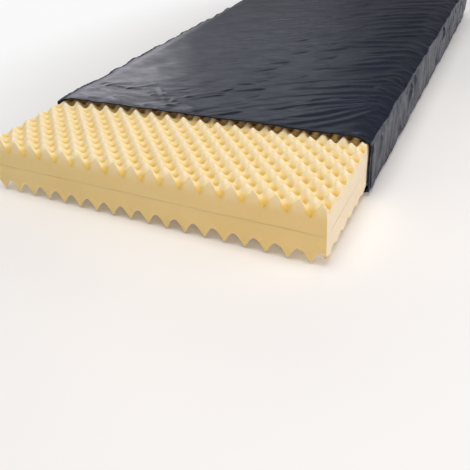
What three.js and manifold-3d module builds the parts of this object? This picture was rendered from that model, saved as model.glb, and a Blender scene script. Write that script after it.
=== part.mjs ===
// A pressure relief mattress: two convoluted foam pads glued back to back, in a zipped nylon cover.
// Millimetres, +Z up. X runs across the mattress, Y along it with the bare foot end at -Y.
// The origin is on the floor under the middle of the foam core.
import * as THREE from "three";
import { mergeVertices } from "three/addons/utils/BufferGeometryUtils.js";
import Module from "manifold-3d";

// ---- Driving dimensions -------------------------------------------------------------------

// Foam core
const PERIOD = 50.8; // from one peak to the next across the foam
const PERIODS_WIDE = 18;
const PERIODS_LONG = 40;
const THICKNESS = 152.4; // highest peaks to lowest tips
const RELIEF = 32; // peak to valley, on either face
const PEAK_INSET = 0.2 * PERIOD; // outermost column of peaks, in from the right side
const GLUE = 0.6; // adhesive layer between the two pads

// Cover
const CLOTH = 1; // thickness of one panel, or of a doubled hem
const GAP = 0.3; // clearance between neighbouring pieces
const BARE_RIGHT = 303; // bare foam in front of the cover, at the right side
const BARE_LEFT = 272; // and at the left side
const HEM = 15; // width of the turned hem round the open edge
const SIDE_ROOM = 2.5; // slack between the foam's sides and the cover
const EASE = 1.2 * PERIOD; // band in which the cover falls towards its seams
const EASE_DROP = 12; // how far it falls
const SEAM_RADIUS = 2.6;

// Zip, along the left side
const ZIP_HEIGHT = 60; // centre line above the floor
const COIL_RADIUS = 1.2;
const COIL_SLOT = 0.8; // half the slot between the two coils
const TAPE_WIDTH = 9;
const STOP_LENGTH = 3;
const STOP_CLEARANCE = 12; // from the hem, and from the corner seam, to the nearest stop
const SLIDER_LENGTH = 12;
const SLIDER_FRONT = 8.6; // width at the nose
const SLIDER_BACK = 6.6; // width at the tail
const PLATE_INNER = 1; // thickness of the plate behind the coils
const PLATE_OUTER = 1.2; // thickness of the plate in front of them
const WEB_LENGTH = 4;
const ARCH_INNER = 1.2; // bridge over the slider that holds the pull tab
const ARCH_OUTER = 2.3;
const ARCH_WIDTH = 1.6;
const TAB_LENGTH = 26;
const TAB_WIDTH = 6;
const TAB_THICKNESS = 1;
const EYE_WIDTH = 2.6;
const EYE_REACH = 3; // from the pivot to the far end of the tab's eye
const GRIP_HOLE_RADIUS = 1.3;

// ---- Derived levels and lines --------------------------------------------------------------

const HALF_PERIOD = PERIOD / 2;
const halfWidth = (PERIOD * PERIODS_WIDE) / 2;
const footY = (-PERIOD * PERIODS_LONG) / 2;
const headY = -footY;
const tipZ = CLOTH + GAP;
const peakZ = tipZ + THICKNESS;
const midZ = (tipZ + peakZ) / 2;
const topMeanZ = peakZ - RELIEF / 2;
const bottomMeanZ = tipZ + RELIEF / 2;

const clothInnerX = halfWidth + SIDE_ROOM; // inner face of the cover's side panels
const clothOuterX = clothInnerX + CLOTH;
const clothMidX = (clothInnerX + clothOuterX) / 2;
const clothInnerY = headY + SIDE_ROOM;
const clothMidY = clothInnerY + CLOTH / 2;
const panelEdgeX = clothMidX - SEAM_RADIUS - GAP; // outer edge of the top and bottom panels
const panelEdgeY = clothMidY - SEAM_RADIUS - GAP;
const topSeamZ = peakZ + GAP + CLOTH / 2 - EASE_DROP;
const bottomSeamZ = CLOTH / 2 + EASE_DROP;
const wallTopZ = topSeamZ - SEAM_RADIUS - GAP;
const wallBottomZ = bottomSeamZ + SEAM_RADIUS + GAP;

// The cover's open edge crosses the mattress at a slight slant.
function openEdgeY(x) {
  const share = (x + halfWidth) / (2 * halfWidth);
  return footY + BARE_LEFT + (BARE_RIGHT - BARE_LEFT) * share;
}

const panelStartY = (x) => openEdgeY(x) + HEM + GAP;

// ---- Shapes --------------------------------------------------------------------------------

const lineAt = (line, x) => (typeof line === "function" ? line(x) : line);

// A closed solid between two height functions, over a grid of lines in X and Y. A line in Y may
// be a function of x. Each cell folds along one diagonal: between its higher corners on a roof,
// between its lower ones in a bowl, and "apart" keeps peaks and tips clear of each other.
function slab({ xs, ys, top, bottom, fold = "apart" }) {
  const layer = xs.length * ys.length;
  const points = [];
  for (const height of [top, bottom]) {
    for (const line of ys) {
      for (const x of xs) {
        const y = lineAt(line, x);
        points.push(x, y, height(x, y));
      }
    }
  }
  const z = (i) => points[3 * i + 2];
  const faces = [];
  const quad = (a, b, c, d) => faces.push(a, b, c, a, c, d);

  // a, b, c, d run anticlockwise seen from above; facing is 1 for the top and -1 for the bottom.
  function cell(a, b, c, d, facing) {
    const alongLow = fold === "apart" ? facing > 0 : fold === "bowl";
    const foldsAC = z(a) + z(c) < z(b) + z(d) === alongLow;
    const [p, q, r, s] = foldsAC ? [a, b, c, d] : [b, c, d, a];
    if (facing > 0) quad(p, q, r, s);
    else quad(p, s, r, q);
  }

  for (let j = 0; j + 1 < ys.length; j++) {
    for (let i = 0; i + 1 < xs.length; i++) {
      const a = j * xs.length + i;
      const d = a + xs.length;
      cell(a, a + 1, d + 1, d, 1);
      cell(a + layer, a + 1 + layer, d + 1 + layer, d + layer, -1);
    }
  }
  const rim = [];
  for (let i = 0; i < xs.length; i++) rim.push(i);
  for (let j = 1; j < ys.length; j++) rim.push((j + 1) * xs.length - 1);
  for (let i = xs.length - 2; i >= 0; i--) rim.push((ys.length - 1) * xs.length + i);
  for (let j = ys.length - 2; j >= 1; j--) rim.push(j * xs.length);
  rim.forEach((from, k) => {
    const to = rim[(k + 1) % rim.length];
    quad(from + layer, to + layer, to, from);
  });
  const geometry = new THREE.BufferGeometry();
  geometry.setAttribute("position", new THREE.Float32BufferAttribute(points, 3));
  geometry.setIndex(faces);
  const flat = geometry.toNonIndexed();
  flat.computeVertexNormals();
  return flat;
}

// An upright plate whose foot end may follow a slanted line.
function plate(x0, x1, ys, z0, z1) {
  return slab({ xs: [x0, x1], ys, top: () => z1, bottom: () => z0 });
}

// A straight round rod between two points.
function rod(from, to, radius, sides = 12) {
  const along = new THREE.Vector3().subVectors(to, from);
  const geometry = new THREE.CylinderGeometry(radius, radius, along.length(), sides);
  const up = new THREE.Vector3(0, 1, 0);
  const turn = new THREE.Quaternion().setFromUnitVectors(up, along.clone().normalize());
  const middle = new THREE.Vector3().addVectors(from, to).multiplyScalar(0.5);
  return geometry.applyQuaternion(turn).translate(middle.x, middle.y, middle.z);
}

const point = (x, y, z) => new THREE.Vector3(x, y, z);

const wasm = await Module();
wasm.setup();

function solidOf(geometry) {
  const bare = geometry.clone();
  bare.deleteAttribute("normal");
  bare.deleteAttribute("uv");
  const merged = mergeVertices(bare, 1e-4);
  const vertProperties = merged.attributes.position.array;
  const triVerts = new Uint32Array(merged.index.array);
  return new wasm.Manifold(new wasm.Mesh({ numProp: 3, vertProperties, triVerts }));
}

function geometryOf(solid) {
  const { vertProperties, triVerts } = solid.getMesh();
  const geometry = new THREE.BufferGeometry();
  geometry.setAttribute("position", new THREE.Float32BufferAttribute(vertProperties, 3));
  geometry.setIndex([...triVerts]);
  const flat = geometry.toNonIndexed();
  flat.computeVertexNormals();
  return flat;
}

const joined = (shapes) => geometryOf(shapes.map(solidOf).reduce((all, one) => all.add(one)));

// ---- Materials -----------------------------------------------------------------------------

const material = (color, roughness, metalness = 0) =>
  new THREE.MeshStandardMaterial({ color, roughness, metalness });

const foam = () => material("#f4dda0", 0.95);
const glue = () => material("#dcb874", 0.8);
const nylon = () => material("#3b4150", 0.42);
const stitched = () => material("#2c303c", 0.5);
const tape = () => material("#1e2128", 0.85);
const coil = () => material("#17191f", 0.5);
const zinc = () => material("#8a8d92", 0.35, 0.9);

const group = new THREE.Group();

function add(name, geometry, finish, place = [0, 0, 0]) {
  const mesh = new THREE.Mesh(geometry, finish);
  mesh.name = name;
  mesh.position.set(...place);
  group.add(mesh);
}

// ---- Foam core -----------------------------------------------------------------------------

// Share of the cover's fall towards the sides and the head end: 0 inside, 1 at the foam's edge.
function fall(x, y) {
  const side = (Math.abs(x) - (halfWidth - EASE)) / EASE;
  const head = (y - (headY - EASE)) / EASE;
  return Math.min(Math.max(side, head, 0), 1);
}

// 1 on a peak and -1 in a valley. The same pattern is cut on both faces, so each lower tip
// lies under an upper valley.
function wave(x, y) {
  const across = (Math.PI * (x - (halfWidth - PEAK_INSET))) / HALF_PERIOD;
  const along = (Math.PI * (y - footY)) / HALF_PERIOD;
  return Math.cos(across) * Math.cos(along);
}

// Bare foam is convoluted. From one row in front of the open edge the cover presses the foam
// down at the sides, and behind the last convoluted row the solid fills out to the cover.
const bareRows = Math.floor(BARE_RIGHT / HALF_PERIOD) + 1;
const lastRowY = footY + bareRows * HALF_PERIOD;
const isPressed = (x, y) => y > openEdgeY(x) - HALF_PERIOD;

function foamTop(x, y) {
  const pressedZ = peakZ - EASE_DROP * fall(x, y);
  if (y > lastRowY + 1) return pressedZ;
  const freeZ = topMeanZ + (RELIEF / 2) * wave(x, y);
  return isPressed(x, y) ? Math.min(freeZ, pressedZ) : freeZ;
}

function foamBottom(x, y) {
  const pressedZ = tipZ + EASE_DROP * fall(x, y);
  if (y > lastRowY + 1) return pressedZ;
  const freeZ = bottomMeanZ + (RELIEF / 2) * wave(x, y);
  return isPressed(x, y) ? Math.max(freeZ, pressedZ) : freeZ;
}

function buildCore() {
  const xs = [halfWidth];
  for (let x = halfWidth - PEAK_INSET; x > -halfWidth; x -= HALF_PERIOD) xs.unshift(x);
  xs.unshift(-halfWidth);
  const ys = [];
  for (let row = 0; row <= bareRows + 1; row++) ys.push(footY + row * HALF_PERIOD);
  ys.push(headY - EASE, headY);
  const glueTop = midZ + GLUE / 2;
  const glueBottom = midZ - GLUE / 2;
  const upper = slab({ xs, ys, top: foamTop, bottom: () => glueTop + GAP });
  const lower = slab({ xs, ys, top: () => glueBottom - GAP, bottom: foamBottom });
  add("top_foam_pad", upper, foam());
  add("bottom_foam_pad", lower, foam());
  add("adhesive_layer", plate(-halfWidth, halfWidth, [footY, headY], glueBottom, glueTop), glue());
}

// ---- Cover ---------------------------------------------------------------------------------

function buildFacePanels() {
  const xs = [-panelEdgeX, -(halfWidth - EASE), halfWidth - EASE, panelEdgeX];
  const panelYs = [panelStartY, headY - EASE, panelEdgeY];
  const hemYs = [openEdgeY, (x) => openEdgeY(x) + HEM];
  const upper = (x, y) => peakZ + GAP - EASE_DROP * fall(x, y);
  const lower = (x, y) => CLOTH + EASE_DROP * fall(x, y);
  const topSheet = (ys) =>
    slab({ xs, ys, top: (x, y) => upper(x, y) + CLOTH, bottom: upper, fold: "roof" });
  const bottomSheet = (ys) =>
    slab({ xs, ys, top: lower, bottom: (x, y) => lower(x, y) - CLOTH, fold: "bowl" });
  add("cover_top_panel", topSheet(panelYs), nylon());
  add("cover_bottom_panel", bottomSheet(panelYs), nylon());
  add("open_hem_top", topSheet(hemYs), stitched());
  add("open_hem_bottom", bottomSheet(hemYs), stitched());
}

const wallEndY = clothMidY - SEAM_RADIUS - GAP;

// An upright strip of cloth on the right (side 1) or left (side -1) of the mattress.
function sideStrip(side, ys, z0, z1) {
  const [x0, x1] = side > 0 ? [clothInnerX, clothOuterX] : [-clothOuterX, -clothInnerX];
  return plate(x0, x1, ys, z0, z1);
}

function buildSidePanels() {
  const tapeEdge = COIL_SLOT + 2 * COIL_RADIUS + GAP + TAPE_WIDTH + GAP;
  const run = [panelStartY, wallEndY];
  const hemRun = [openEdgeY, (x) => openEdgeY(x) + HEM];
  add("cover_right_side_panel", sideStrip(1, run, wallBottomZ, wallTopZ), nylon());
  add("cover_left_upper_panel", sideStrip(-1, run, ZIP_HEIGHT + tapeEdge, wallTopZ), nylon());
  add("cover_left_lower_panel", sideStrip(-1, run, wallBottomZ, ZIP_HEIGHT - tapeEdge), nylon());
  add("open_hem_right", sideStrip(1, hemRun, wallBottomZ, wallTopZ), stitched());
  add("open_hem_left", sideStrip(-1, hemRun, wallBottomZ, wallTopZ), stitched());
  const headEdgeX = clothMidX - SEAM_RADIUS - GAP;
  const headRun = [clothInnerY, clothInnerY + CLOTH];
  add("cover_head_panel", plate(-headEdgeX, headEdgeX, headRun, wallBottomZ, wallTopZ), nylon());
}

function buildSeams() {
  const levels = { top: topSeamZ, bottom: bottomSeamZ };
  const sides = { right: 1, left: -1 };
  const cornerX = clothMidX - SEAM_RADIUS - GAP;
  for (const [level, z] of Object.entries(levels)) {
    for (const [side, sign] of Object.entries(sides)) {
      const x = sign * clothMidX;
      const from = point(x, openEdgeY(x), z);
      const to = point(x, clothMidY + SEAM_RADIUS, z);
      add(`${level}_seam_${side}`, rod(from, to, SEAM_RADIUS), stitched());
    }
    const across = rod(point(-cornerX, clothMidY, z), point(cornerX, clothMidY, z), SEAM_RADIUS);
    add(`${level}_seam_head`, across, stitched());
  }
  for (const [side, sign] of Object.entries(sides)) {
    const x = sign * clothMidX;
    const upright = rod(point(x, clothMidY, wallBottomZ), point(x, clothMidY, wallTopZ), SEAM_RADIUS);
    add(`corner_seam_${side}`, upright, stitched());
  }
}

// ---- Zip -----------------------------------------------------------------------------------

const zipX = -clothMidX;
const footStopY = openEdgeY(-halfWidth) + HEM + STOP_CLEARANCE;
const headStopY = wallEndY - STOP_CLEARANCE;
const coilStartY = footStopY + STOP_LENGTH / 2 + GAP;
const coilEndY = headStopY - STOP_LENGTH / 2 - GAP;
const sliderY = coilStartY + SLIDER_LENGTH / 2;
const coilFaceX = COIL_RADIUS + GAP; // from the zip's centre plane to the slider's plates

function buildZipTrack() {
  const coilZ = COIL_SLOT + COIL_RADIUS;
  const tapeZ = COIL_SLOT + 2 * COIL_RADIUS + GAP;
  for (const [name, sign] of Object.entries({ upper: 1, lower: -1 })) {
    const z = ZIP_HEIGHT + sign * coilZ;
    const chain = rod(point(zipX, coilStartY, z), point(zipX, coilEndY, z), COIL_RADIUS, 8);
    const [z0, z1] = [ZIP_HEIGHT + sign * tapeZ, ZIP_HEIGHT + sign * (tapeZ + TAPE_WIDTH)];
    const run = [panelStartY, wallEndY];
    const strip = sideStrip(-1, run, Math.min(z0, z1), Math.max(z0, z1));
    add(`zip_tape_${name}`, strip, tape());
    add(`zip_coil_${name}`, chain, coil());
  }
  const stopHeight = 2 * (COIL_SLOT + 2 * COIL_RADIUS);
  for (const [name, y] of Object.entries({ foot: footStopY, head: headStopY })) {
    const block = new THREE.BoxGeometry(2 * COIL_RADIUS, STOP_LENGTH, stopHeight);
    add(`zip_stop_${name}`, block, zinc(), [zipX, y, ZIP_HEIGHT]);
  }
}

// A shield-shaped plate of the slider, in its own frame: the nose towards -Y, standing on x0.
function sliderPlate(x0, thickness) {
  const outline = new THREE.Shape();
  const nose = -SLIDER_LENGTH / 2;
  const tail = SLIDER_LENGTH / 2;
  outline.moveTo(nose + 1, -SLIDER_FRONT / 2);
  outline.lineTo(tail, -SLIDER_BACK / 2);
  outline.lineTo(tail, SLIDER_BACK / 2);
  outline.lineTo(nose + 1, SLIDER_FRONT / 2);
  outline.absarc(nose + SLIDER_FRONT / 2, 0, SLIDER_FRONT / 2, Math.PI * 0.75, Math.PI * 1.25);
  const solid = new THREE.ExtrudeGeometry(outline, { depth: thickness, bevelEnabled: false });
  // The outline's x runs along Y, its y along Z, and the depth along X.
  const axes = new THREE.Matrix4().makeBasis(point(0, 1, 0), point(0, 0, 1), point(1, 0, 0));
  return solid.applyMatrix4(axes).translate(x0, 0, 0);
}

// The half ring that the pull tab's end bar turns under, centred on the pivot, with its feet
// sunk into the slider's outer plate.
function sliderArch(pivot, footDepth) {
  const ring = new THREE.Shape();
  ring.absarc(0, 0, ARCH_OUTER, 0, Math.PI);
  ring.lineTo(-ARCH_OUTER, -footDepth);
  ring.lineTo(-ARCH_INNER, -footDepth);
  ring.absarc(0, 0, ARCH_INNER, Math.PI, 0, true);
  ring.lineTo(ARCH_INNER, -footDepth);
  ring.lineTo(ARCH_OUTER, -footDepth);
  const solid = new THREE.ExtrudeGeometry(ring, {
    depth: ARCH_WIDTH,
    bevelEnabled: false,
    curveSegments: 10,
  });
  // The outline's x runs along Y, its y along -X, and the depth along Z.
  const axes = new THREE.Matrix4().makeBasis(point(0, 1, 0), point(-1, 0, 0), point(0, 0, 1));
  return solid.applyMatrix4(axes).translate(-pivot, 0, -ARCH_WIDTH / 2);
}

// The pull tab: an eye round the arch, an end bar under it, and a grip with a round hole.
function pullTab() {
  const half = TAB_WIDTH / 2;
  const outline = new THREE.Shape();
  outline.moveTo(-TAB_THICKNESS / 2, -half);
  outline.lineTo(TAB_LENGTH - half, -half);
  outline.absarc(TAB_LENGTH - half, 0, half, -Math.PI / 2, Math.PI / 2);
  outline.lineTo(-TAB_THICKNESS / 2, half);
  const eye = new THREE.Path();
  eye.moveTo(TAB_THICKNESS / 2, -EYE_WIDTH / 2);
  eye.lineTo(TAB_THICKNESS / 2, EYE_WIDTH / 2);
  eye.lineTo(EYE_REACH, EYE_WIDTH / 2);
  eye.lineTo(EYE_REACH, -EYE_WIDTH / 2);
  const grip = new THREE.Path();
  grip.absarc(TAB_LENGTH - half, 0, GRIP_HOLE_RADIUS, 0, 2 * Math.PI, true);
  outline.holes.push(eye, grip);
  const solid = new THREE.ExtrudeGeometry(outline, {
    depth: TAB_THICKNESS,
    bevelEnabled: false,
    curveSegments: 8,
  });
  const axes = new THREE.Matrix4().makeBasis(point(0, 1, 0), point(0, 0, 1), point(1, 0, 0));
  return solid.applyMatrix4(axes).translate(-TAB_THICKNESS / 2, 0, 0);
}

function buildZipSlider() {
  const outerFace = coilFaceX + PLATE_OUTER;
  const pivot = outerFace + GAP + TAB_THICKNESS / 2;
  const web = new THREE.BoxGeometry(2 * coilFaceX + 1, WEB_LENGTH, 2 * (COIL_SLOT - GAP));
  web.translate(0, -SLIDER_LENGTH / 2 + WEB_LENGTH / 2 + 1, 0);
  const body = joined([
    sliderPlate(coilFaceX, PLATE_INNER),
    sliderPlate(-outerFace, PLATE_OUTER),
    web,
    sliderArch(pivot, pivot - outerFace + PLATE_OUTER / 2),
  ]);
  add("zip_slider", body, zinc(), [zipX, sliderY, ZIP_HEIGHT]);
  add("zip_pull_tab", pullTab(), zinc(), [zipX - pivot, sliderY, ZIP_HEIGHT]);
}

buildCore();
buildFacePanels();
buildSidePanels();
buildSeams();
buildZipTrack();
buildZipSlider();

export default group;
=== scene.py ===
import math

import bpy
import numpy as np
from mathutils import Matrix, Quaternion, Vector

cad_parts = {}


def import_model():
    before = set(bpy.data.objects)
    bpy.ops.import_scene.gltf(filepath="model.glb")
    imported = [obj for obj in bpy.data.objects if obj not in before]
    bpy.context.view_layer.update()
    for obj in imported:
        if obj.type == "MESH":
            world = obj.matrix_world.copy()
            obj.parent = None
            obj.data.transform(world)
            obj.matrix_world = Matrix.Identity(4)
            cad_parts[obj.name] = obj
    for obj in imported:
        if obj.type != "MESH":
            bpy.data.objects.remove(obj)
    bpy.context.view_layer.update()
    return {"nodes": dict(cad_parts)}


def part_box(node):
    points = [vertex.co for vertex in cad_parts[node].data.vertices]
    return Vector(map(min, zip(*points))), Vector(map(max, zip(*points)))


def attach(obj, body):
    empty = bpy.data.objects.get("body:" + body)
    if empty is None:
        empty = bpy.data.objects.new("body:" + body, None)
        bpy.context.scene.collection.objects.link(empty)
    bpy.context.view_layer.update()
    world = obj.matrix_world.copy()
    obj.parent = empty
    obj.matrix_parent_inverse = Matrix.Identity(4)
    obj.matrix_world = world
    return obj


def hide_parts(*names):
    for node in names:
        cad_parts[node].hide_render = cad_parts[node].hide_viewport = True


# A convoluted foam mattress, its coated nylon cover drawn back from the foot end to show the foam.
# Metres; X across, +Y towards the head, +Z up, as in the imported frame.

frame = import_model()

# Sizes: read from the frame where it has them
top_pad_low, top_pad_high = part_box("top_foam_pad")
bottom_pad_low, bottom_pad_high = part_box("bottom_foam_pad")


def middle(node_name, axis):
    """The middle of a CAD node along one axis."""
    low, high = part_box(node_name)
    return (low[axis] + high[axis]) / 2


HALF_WIDTH = top_pad_high.x
FOOT_Y = top_pad_low.y
HEAD_Y = top_pad_high.y
PEAK_Z = top_pad_high.z
TIP_Z = bottom_pad_low.z
MID_Z = (top_pad_low.z + bottom_pad_high.z) / 2
PERIODS_WIDE, PERIODS_LONG = 18, 40  # from peak to peak, over the core's width and length
HALF_PERIOD = HALF_WIDTH / PERIODS_WIDE
PEAK_COLUMN = HALF_WIDTH - 0.4 * HALF_PERIOD  # outermost column of peaks
RELIEF = {1: 0.036, -1: 0.032}  # peak to valley, on the top and on the bottom
TIP_ROUNDING = 0.06  # softens the sharp lowest points, as a share of the relief
PEAK_POINTEDNESS = 0.97  # 1 would make the top's peaks true points

WALL_X = middle("cover_right_side_panel", 0)
WALL_HEAD_Y = middle("cover_head_panel", 1)
TOP_SEAM_Z = middle("top_seam_right", 2)
BOTTOM_SEAM_Z = middle("bottom_seam_right", 2)
EDGE_LEFT_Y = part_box("open_hem_left")[0].y
EDGE_RIGHT_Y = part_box("open_hem_right")[0].y
UPPER_PANEL_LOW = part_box("cover_left_upper_panel")[0].z  # the left side's panels, above and below the zip
LOWER_PANEL_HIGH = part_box("cover_left_lower_panel")[1].z
ZIP_LOW, ZIP_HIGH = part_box("zip_tape_lower")[0].z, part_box("zip_tape_upper")[1].z
HEM = 0.015  # width of the hem
CLOTH = 0.0008  # thickness of the cloth
CLEARANCE = 0.0003  # between the foam and the cloth
SEAM_GAP = 0.0012  # from a seam's line to the edges of its panels
EASE = 0.061  # band in which the cover falls towards its seams
TOP_UNDER_Z = PEAK_Z + CLEARANCE  # underside of the cover's top
EASE_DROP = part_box("cover_top_panel")[1].z - TOP_SEAM_Z - CLOTH / 2
BOTTOM_TOP_Z = TIP_Z - CLEARANCE  # upper side of the cover's bottom


def smooth(low, high, value):
    """0 at low and before it, 1 at high and past it, and a smooth step between."""
    share = np.clip((value - low) / (high - low), 0, 1)
    return share * share * (3 - 2 * share)


def fade(distance):
    """1 at 0 and 0 at 1, level at both."""
    return 1 - distance**3 * (distance * (distance * 6 - 15) + 10)


def noise(x, y, seed):
    """Gradient noise on a unit lattice, about -1 to 1, the same each run."""
    table = np.random.default_rng(seed).uniform(0, 2 * math.pi, (64, 64))
    x, y = np.broadcast_arrays(np.asarray(x, float), np.asarray(y, float))
    column, row = np.floor(x).astype(int), np.floor(y).astype(int)
    u, v = x - column, y - row
    total = 0
    for i in (0, 1):
        for j in (0, 1):
            angle = table[(column + i) % 64, (row + j) % 64]
            slope = np.cos(angle) * (u - i) + np.sin(angle) * (v - j)
            total = total + fade(abs(u - i)) * fade(abs(v - j)) * slope
    return 1.5 * total


def lumps(x, y, seed):
    """The same noise, about 0 to 1."""
    return 0.5 + 0.5 * noise(x, y, seed)


def placed(x, y, z):
    """Points from their coordinates, any of which may be one number."""
    return np.stack(np.broadcast_arrays(x, y, z), -1)


def unit(vectors):
    """The vectors, each made one long."""
    return vectors / np.maximum(np.linalg.norm(vectors, axis=-1, keepdims=True), 1e-9)


def every(step):
    """Picks every step-th line of a grid, both ways."""
    return (slice(None, None, step), slice(None, None, step))


# Mesh builders
def linked(made):
    bpy.context.scene.collection.objects.link(made)
    return made


def make_object(name, points, faces, lift=None):
    """A smooth-shaded mesh object. lift holds a number for each point, which its material reads."""
    mesh = bpy.data.meshes.new(name)
    mesh.from_pydata(np.asarray(points).tolist(), [], faces)
    mesh.update()
    mesh.shade_smooth()
    if lift is not None:
        attribute = mesh.attributes.new("lift", "FLOAT", "POINT")
        attribute.data.foreach_set("value", np.asarray(lift, np.float32).ravel())
    return linked(bpy.data.objects.new(name, mesh))


def grid_faces(rows, columns, start=0, flip=False):
    """Quads over a grid of points stored row by row."""
    i, j = np.meshgrid(np.arange(rows - 1), np.arange(columns - 1), indexing="ij")
    a = (start + i * columns + j).ravel()
    quads = np.stack([a, a + columns, a + columns + 1, a + 1], 1)
    return (quads[:, ::-1] if flip else quads).tolist()


def rim_of(rows, columns, start=0):
    """The points round a grid's edge, in order."""
    grid = start + np.arange(rows * columns).reshape(rows, columns)
    return np.concatenate([grid[:-1, 0], grid[-1, :-1], grid[:0:-1, -1], grid[0, :0:-1]]).tolist()


def shell(name, outer, inner, walls=(), lift=None):
    """A closed body between two grids. walls are rings of points round the rim, from the outer grid to the
    inner one, which has every n-th line of the outer. lift covers the outer grid, and the walls if it goes
    on that far; it is 0 on the rest."""
    rows, columns = outer.shape[:2]
    inner_rows, inner_columns = inner.shape[:2]
    points = [outer.reshape(-1, 3), *walls, inner.reshape(-1, 3)]
    faces = grid_faces(rows, columns)
    ring = rim_of(rows, columns)
    count = rows * columns
    for wall in walls:
        following = list(range(count, count + len(wall)))
        turn = following[1:] + following[:1]
        faces += [list(face) for face in zip(following, turn, ring[1:] + ring[:1], ring)]
        count += len(wall)
        ring = following
    faces += grid_faces(inner_rows, inner_columns, count, flip=True)
    inner_rim = rim_of(inner_rows, inner_columns, count)
    steps = [(rows - 1) // (inner_rows - 1)] * (inner_rows - 1)
    steps += [(columns - 1) // (inner_columns - 1)] * (inner_columns - 1)
    at = 0
    for k, step in enumerate(steps + steps):
        fine = [ring[(at + n) % len(ring)] for n in range(step, -1, -1)]
        faces.append(fine + [inner_rim[k], inner_rim[(k + 1) % len(inner_rim)]])
        at += step
    if lift is not None:
        lift = np.pad(lift.ravel(), (0, count + inner_rows * inner_columns - lift.size))
    return make_object(name, np.concatenate(points), faces, lift)


def sweep(name, rings, lift=None):
    """A closed body through rings of points, shape (rings, points in a ring, 3), with flat ends."""
    count, around = rings.shape[:2]
    a = np.arange((count - 1) * around)
    turn = np.where(a % around == around - 1, a - around + 1, a + 1)
    faces = np.stack([a, turn, turn + around, a + around], 1).tolist()
    faces += [list(range(around))[::-1], list(range((count - 1) * around, count * around))]
    return make_object(name, rings.reshape(-1, 3), faces, lift)


def outward(made):
    """Turns a closed body's faces out if they point in."""
    mesh = made.data
    mesh.calc_loop_triangles()
    corners = np.zeros(len(mesh.loop_triangles) * 3, np.int32)
    mesh.loop_triangles.foreach_get("vertices", corners)
    points = np.zeros(len(mesh.vertices) * 3)
    mesh.vertices.foreach_get("co", points)
    a, b, c = points.reshape(-1, 3)[corners.reshape(-1, 3)].transpose(1, 0, 2)
    if np.einsum("ij,ij->i", a, np.cross(b, c)).sum() < 0:
        mesh.flip_normals()
    return made


# Materials
def feed(tree, socket, value):
    """Links another node's output to the socket, or sets any other value on it."""
    if isinstance(value, bpy.types.NodeSocket):
        tree.links.new(value, socket)
    else:
        socket.default_value = value


def node(tree, kind, sockets=None, **settings):
    """Adds a node, with its settings and what feeds its sockets."""
    made = tree.nodes.new("ShaderNode" + kind)
    for label, value in settings.items():
        setattr(made, label, value)
    for label, value in (sockets or {}).items():
        feed(tree, made.inputs[label], value)
    return made


def mixed(tree, factor, first, second, blend="MIX"):
    """A colour between two colours, each an output or four numbers."""
    sockets = {0: factor, 6: first, 7: second}
    return node(tree, "Mix", sockets, data_type="RGBA", blend_type=blend).outputs[2]


def product(tree, first, second):
    return node(tree, "Math", {0: first, 1: second}, operation="MULTIPLY").outputs["Value"]


def ramp(tree, factor, stops, mode="EASE"):
    """A colour read along (place, colour) stops."""
    made = node(tree, "ValToRGB", {"Fac": factor})
    made.color_ramp.interpolation = mode
    while len(made.color_ramp.elements) < len(stops):
        made.color_ramp.elements.new(0.5)
    for element, (place, colour) in zip(made.color_ramp.elements, stops):
        element.position = place
        element.color = colour
    return made.outputs["Color"]


def span(tree, value, low, high, to_low, to_high):
    """The value's range low to high, carried onto to_low to to_high."""
    made = node(tree, "MapRange", {"Value": value, "From Min": low, "From Max": high,
                                   "To Min": to_low, "To Max": to_high})
    return made.outputs["Result"]


def turned(tree, scale=(1, 1, 1), rotation=(0, 0, 0)):
    """The object's own coordinates, scaled and turned."""
    place = node(tree, "TexCoord").outputs["Object"]
    made = node(tree, "Mapping", {"Vector": place, "Scale": scale, "Rotation": rotation})
    return made.outputs["Vector"]


def grain(tree, vector, scale, detail=3, roughness=0.55):
    """Fractal noise from 0 to 1."""
    sockets = {"Vector": vector, "Scale": scale, "Detail": detail, "Roughness": roughness}
    return node(tree, "TexNoise", sockets).outputs["Fac"]


def bands(tree, vector, scale, distortion, direction="DIAGONAL", detail=2, detail_scale=1):
    """Parallel waves from 0 to 1."""
    made = node(tree, "TexWave", {"Vector": vector, "Scale": scale, "Distortion": distortion,
                                  "Detail": detail, "Detail Scale": detail_scale},
                wave_type="BANDS", bands_direction=direction)
    return made.outputs["Fac"]


def bump(tree, height, strength, distance, normal=None):
    """A normal from a height, on top of another normal."""
    sockets = {"Height": height, "Strength": strength, "Distance": distance}
    if normal is not None:
        sockets["Normal"] = normal
    return node(tree, "Bump", sockets).outputs["Normal"]


def new_material(name):
    made = bpy.data.materials.new(name)
    made.use_nodes = True
    return made, made.node_tree


def shaded(made, **sockets):
    """The material, with its shader's sockets fed. Their names have _ for a space."""
    shader = made.node_tree.nodes["Principled BSDF"]
    for label, value in sockets.items():
        feed(made.node_tree, shader.inputs[label.replace("_", " ")], value)
    return made


def rgb(red, green, blue):
    """A colour's 0-255 screen numbers as the linear colour that a shader takes."""
    def linear(c):
        c /= 255
        return c / 12.92 if c <= 0.04045 else ((c + 0.055) / 1.055) ** 2.4
    return (linear(red), linear(green), linear(blue), 1)


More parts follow.
